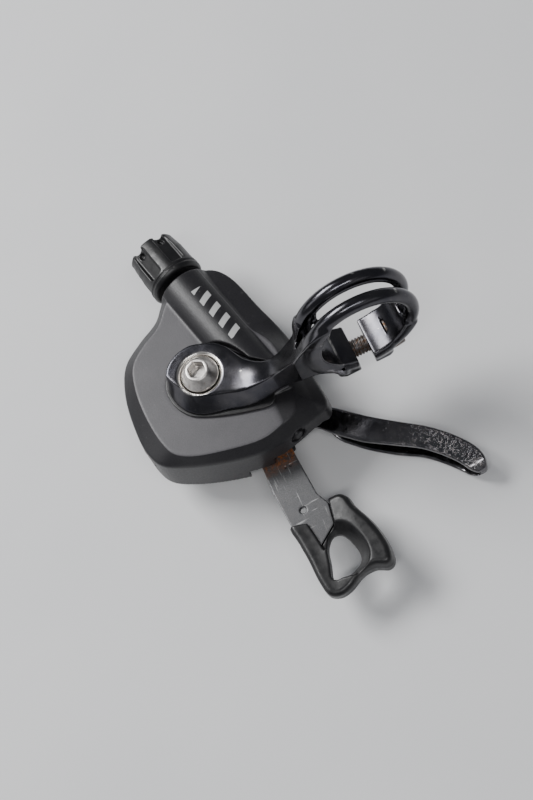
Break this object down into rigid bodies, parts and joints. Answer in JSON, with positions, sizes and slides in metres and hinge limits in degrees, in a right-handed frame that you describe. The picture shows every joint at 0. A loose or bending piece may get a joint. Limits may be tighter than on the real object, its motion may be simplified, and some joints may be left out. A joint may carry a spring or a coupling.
{
  "type": "trigger shifter",
  "caption": "Left-hand trigger gear shifter for a flat handlebar: split clamp on an arm, flat housing, thumb lever, two-way release lever and barrel adjuster.",
  "frame": {"origin": "centre of the handlebar bore, midway across the clamp band", "axes": "+Y along the handlebar towards the cable side, +Z out of the top cover along the main axle, -X from the bar to the housing"},
  "size_m": [0.0773, 0.1073, 0.0532],
  "materials": {
    "clamp_alloy": "smoke-grey anodised and polished forged aluminium",
    "dark_steel": "blackened steel, slightly rusty in the threads",
    "bright_steel": "bright plated steel",
    "cover_plastic": "satin dark grey moulded plastic with a fine grain",
    "pale_resin": "pale grey moulded resin",
    "black_plastic": "black moulded plastic, satin",
    "plate_steel": "zinc-plated pressed steel",
    "spring_steel": "spring steel wire and strip",
    "plate_alloy": "satin bead-blasted aluminium, speckled and scratched",
    "lever_chrome": "black chrome, worn through to metal along the upper edge"
  },
  "bodies": {
    "housing": {"clamp_bracket": "clamp_alloy", "clamp_bolt": "dark_steel", "bracket_bolt": "bright_steel", "bracket_shim": "dark_steel", "top_cover": "cover_plastic", "cable_plug": "pale_resin", "bottom_cover": "black_plastic", "cover_screw_1": "dark_steel", "cover_screw_2": "dark_steel", "cover_screw_3": "dark_steel", "base_plate": "plate_steel", "upper_plate": "plate_steel", "main_axle": "bright_steel", "axle_nut": "bright_steel", "lever_washer": "bright_steel", "drum_return_spring": "spring_steel", "lever_return_spring": "spring_steel", "hold_pawl_pin": "bright_steel", "hold_pawl_spring": "spring_steel", "release_pin": "bright_steel", "release_circlip": "spring_steel", "release_spring": "spring_steel", "barrel_click_spring": "spring_steel"},
    "main_lever": {"main_lever": "lever_chrome", "drive_pawl_pin": "bright_steel", "drive_pawl_spring": "spring_steel"},
    "drive_pawl": {"drive_pawl": "bright_steel"},
    "winding_drum": {"winding_drum": "black_plastic", "ratchet_wheel": "bright_steel"},
    "hold_pawl": {"hold_pawl": "bright_steel"},
    "release_lever": {"release_plate": "plate_alloy", "release_paddle": "black_plastic"},
    "ferrule_seat": {"ferrule_seat": "bright_steel"},
    "barrel_adjuster": {"barrel_adjuster": "black_plastic"}
  },
  "joints": [
    {"name": "main_lever_swing", "type": "hinge", "parent": "housing", "child": "main_lever", "pos_m": [-0.0402, 0.0104, -0.0313], "axis": [0, 0, 1], "range_deg": [-35, 0], "stiffness_Nm_per_rad": 0.12, "springref_deg": 20.05},
    {"name": "drive_pawl_tilt", "type": "hinge", "parent": "main_lever", "child": "drive_pawl", "pos_m": [-0.05373, 0.01533, -0.0233], "axis": [0, 0, 1], "range_deg": [0, 12], "stiffness_Nm_per_rad": 0.002, "springref_deg": -11.46},
    {"name": "winding_drum_turn", "type": "hinge", "parent": "housing", "child": "winding_drum", "pos_m": [-0.0402, 0.0104, -0.02], "axis": [0, 0, 1], "range_deg": [-60, 0]},
    {"name": "hold_pawl_tilt", "type": "hinge", "parent": "housing", "child": "hold_pawl", "pos_m": [-0.04696, -0.00231, -0.0233], "axis": [0, 0, 1], "range_deg": [-12, 0], "stiffness_Nm_per_rad": 0.002, "springref_deg": 11.46},
    {"name": "release_lever_swing", "type": "hinge", "parent": "housing", "child": "release_lever", "pos_m": [-0.031, -0.001, -0.0273], "axis": [0, 0, 1], "range_deg": [-12, 12], "stiffness_Nm_per_rad": 0.08},
    {"name": "barrel_screw_travel", "type": "slide", "parent": "housing", "child": "ferrule_seat", "axis": [-0.2419, 0.9703, 0], "range_m": [-0.0008, 0.0024]},
    {"name": "barrel_turn", "type": "hinge", "parent": "ferrule_seat", "child": "barrel_adjuster", "pos_m": [-0.0361, 0.0415, -0.0195], "axis": [-0.2419, 0.9703, 0], "range_deg": [-360, 1080]}
  ],
  "couplings": [
    {"joint": "barrel_turn", "follows": "barrel_screw_travel", "rad_per_m": 7854}
  ]
}
